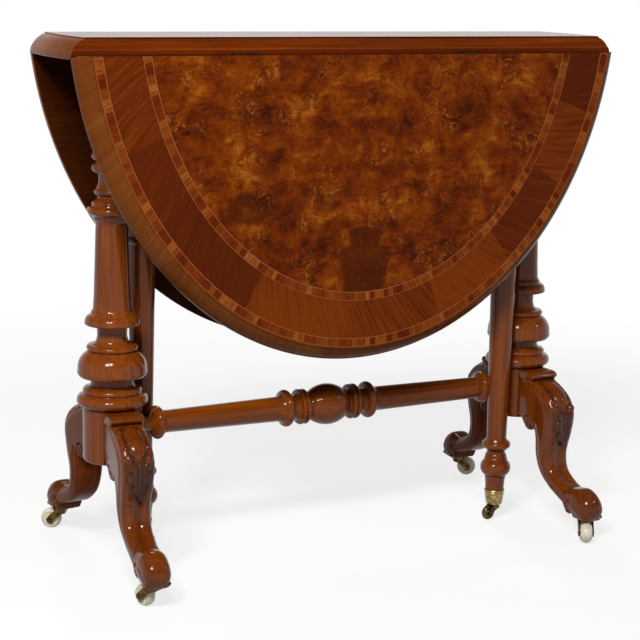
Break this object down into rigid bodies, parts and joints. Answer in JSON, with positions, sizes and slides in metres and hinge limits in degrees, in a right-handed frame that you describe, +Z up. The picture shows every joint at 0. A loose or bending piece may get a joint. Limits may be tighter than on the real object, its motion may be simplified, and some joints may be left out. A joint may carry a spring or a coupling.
{
  "type": "sutherland table",
  "caption": "Drop-leaf side table with a very narrow fixed top, deep oval leaves, turned columns on scroll legs, swing legs and a turned stretcher, all on castors.",
  "frame": {"origin": "on the floor, under the middle of the table", "axes": "+X along the table's long side, to the right in the picture; +Y away from the pictured leaf; +Z up"},
  "size_m": [0.828, 0.4076, 0.72],
  "materials": {
    "polished_walnut": "French-polished reddish-brown walnut",
    "stained_beech": "stained beech, unpolished under the top",
    "burr_walnut": "polished burr walnut veneer, book-matched",
    "crossbanded_walnut": "polished straight-grained veneer laid across the edge",
    "tulipwood": "polished block inlay between thin light strings",
    "aged_brass": "dull, rubbed",
    "cream_ceramic": "glazed cream",
    "steel": "plain drawn"
  },
  "bodies": {
    "frame": {"top_board": "polished_walnut", "left_bearer": "stained_beech", "right_bearer": "stained_beech", "centre_rail": "stained_beech", "front_fixed_rail": "stained_beech", "rear_fixed_rail": "stained_beech", "front_knuckle_pin": "steel", "rear_knuckle_pin": "steel", "left_column": "polished_walnut", "right_column": "polished_walnut", "left_block": "polished_walnut", "right_block": "polished_walnut", "left_front_leg": "polished_walnut", "left_rear_leg": "polished_walnut", "right_front_leg": "polished_walnut", "right_rear_leg": "polished_walnut", "stretcher": "polished_walnut", "front_left_hinge_board_flap": "aged_brass", "front_right_hinge_board_flap": "aged_brass", "rear_left_hinge_board_flap": "aged_brass", "rear_right_hinge_board_flap": "aged_brass", "left_front_castor_plate": "aged_brass", "left_rear_castor_plate": "aged_brass", "right_front_castor_plate": "aged_brass", "right_rear_castor_plate": "aged_brass"},
    "front_leaf": {"front_leaf": "polished_walnut", "front_burr_field": "burr_walnut", "front_inner_inlay": "tulipwood", "front_crossband": "crossbanded_walnut", "front_outer_inlay": "tulipwood", "front_left_hinge_leaf_flap": "aged_brass", "front_right_hinge_leaf_flap": "aged_brass"},
    "front_gate": {"front_fly_rail": "stained_beech", "front_gate_leg": "polished_walnut", "front_gate_cup": "aged_brass"},
    "rear_leaf": {"rear_leaf": "polished_walnut", "rear_burr_field": "burr_walnut", "rear_inner_inlay": "tulipwood", "rear_crossband": "crossbanded_walnut", "rear_outer_inlay": "tulipwood", "rear_left_hinge_leaf_flap": "aged_brass", "rear_right_hinge_leaf_flap": "aged_brass"},
    "rear_gate": {"rear_fly_rail": "stained_beech", "rear_gate_leg": "polished_walnut", "rear_gate_cup": "aged_brass"},
    "left_front_castor_swivel": {"left_front_castor_fork": "aged_brass"},
    "left_front_castor_wheel": {"left_front_castor_wheel": "cream_ceramic"},
    "left_rear_castor_swivel": {"left_rear_castor_fork": "aged_brass"},
    "left_rear_castor_wheel": {"left_rear_castor_wheel": "cream_ceramic"},
    "right_front_castor_swivel": {"right_front_castor_fork": "aged_brass"},
    "right_front_castor_wheel": {"right_front_castor_wheel": "cream_ceramic"},
    "right_rear_castor_swivel": {"right_rear_castor_fork": "aged_brass"},
    "right_rear_castor_wheel": {"right_rear_castor_wheel": "cream_ceramic"},
    "front_gate_castor_swivel": {"front_gate_castor_fork": "aged_brass"},
    "front_gate_castor_wheel": {"front_gate_castor_wheel": "aged_brass"},
    "rear_gate_castor_swivel": {"rear_gate_castor_fork": "aged_brass"},
    "rear_gate_castor_wheel": {"rear_gate_castor_wheel": "aged_brass"}
  },
  "joints": [
    {"name": "front_leaf_hinge", "type": "hinge", "parent": "frame", "child": "front_leaf", "pos_m": [0, -0.0794, 0.6965], "axis": [-1, 0, 0], "range_deg": [0, 90]},
    {"name": "front_gate_swing", "type": "hinge", "parent": "frame", "child": "front_gate", "pos_m": [0, -0.04, 0.665], "axis": [0, 0, -1], "range_deg": [0, 2.5]},
    {"name": "rear_leaf_hinge", "type": "hinge", "parent": "frame", "child": "rear_leaf", "pos_m": [0, 0.0794, 0.6965], "axis": [1, 0, 0], "range_deg": [0, 90]},
    {"name": "rear_gate_swing", "type": "hinge", "parent": "frame", "child": "rear_gate", "pos_m": [0, 0.04, 0.665], "axis": [0, 0, -1], "range_deg": [0, 2.5]},
    {"name": "left_front_castor_swivel", "type": "hinge", "parent": "frame", "child": "left_front_castor_swivel", "pos_m": [-0.33687, -0.17767, 0.03], "axis": [0, 0, 1], "continuous": true},
    {"name": "left_front_castor_roll", "type": "hinge", "parent": "left_front_castor_swivel", "child": "left_front_castor_wheel", "pos_m": [-0.34363, -0.16317, 0.015], "axis": [-0.9063, -0.4226, 0], "continuous": true},
    {"name": "left_rear_castor_swivel", "type": "hinge", "parent": "frame", "child": "left_rear_castor_swivel", "pos_m": [-0.33687, 0.17767, 0.03], "axis": [0, 0, 1], "continuous": true},
    {"name": "left_rear_castor_roll", "type": "hinge", "parent": "left_rear_castor_swivel", "child": "left_rear_castor_wheel", "pos_m": [-0.35072, 0.18567, 0.015], "axis": [-0.5, -0.866, 0], "continuous": true},
    {"name": "right_front_castor_swivel", "type": "hinge", "parent": "frame", "child": "right_front_castor_swivel", "pos_m": [0.33687, -0.17767, 0.03], "axis": [0, 0, 1], "continuous": true},
    {"name": "right_front_castor_roll", "type": "hinge", "parent": "right_front_castor_swivel", "child": "right_front_castor_wheel", "pos_m": [0.32887, -0.19152, 0.015], "axis": [0.866, -0.5, 0], "continuous": true},
    {"name": "right_rear_castor_swivel", "type": "hinge", "parent": "frame", "child": "right_rear_castor_swivel", "pos_m": [0.33687, 0.17767, 0.03], "axis": [0, 0, 1], "continuous": true},
    {"name": "right_rear_castor_roll", "type": "hinge", "parent": "right_rear_castor_swivel", "child": "right_rear_castor_wheel", "pos_m": [0.35137, 0.17091, 0.015], "axis": [0.4226, 0.9063, 0], "continuous": true},
    {"name": "front_gate_castor_swivel", "type": "hinge", "parent": "front_gate", "child": "front_gate_castor_swivel", "pos_m": [0.268, -0.04, 0.03], "axis": [0, 0, 1], "continuous": true},
    {"name": "front_gate_castor_roll", "type": "hinge", "parent": "front_gate_castor_swivel", "child": "front_gate_castor_wheel", "pos_m": [0.25717, -0.04191, 0.011], "axis": [0.1736, -0.9848, 0], "continuous": true},
    {"name": "rear_gate_castor_swivel", "type": "hinge", "parent": "rear_gate", "child": "rear_gate_castor_swivel", "pos_m": [-0.268, 0.04, 0.03], "axis": [0, 0, 1], "continuous": true},
    {"name": "rear_gate_castor_roll", "type": "hinge", "parent": "rear_gate_castor_swivel", "child": "rear_gate_castor_wheel", "pos_m": [-0.25717, 0.04191, 0.011], "axis": [-0.1736, 0.9848, 0], "continuous": true}
  ]
}
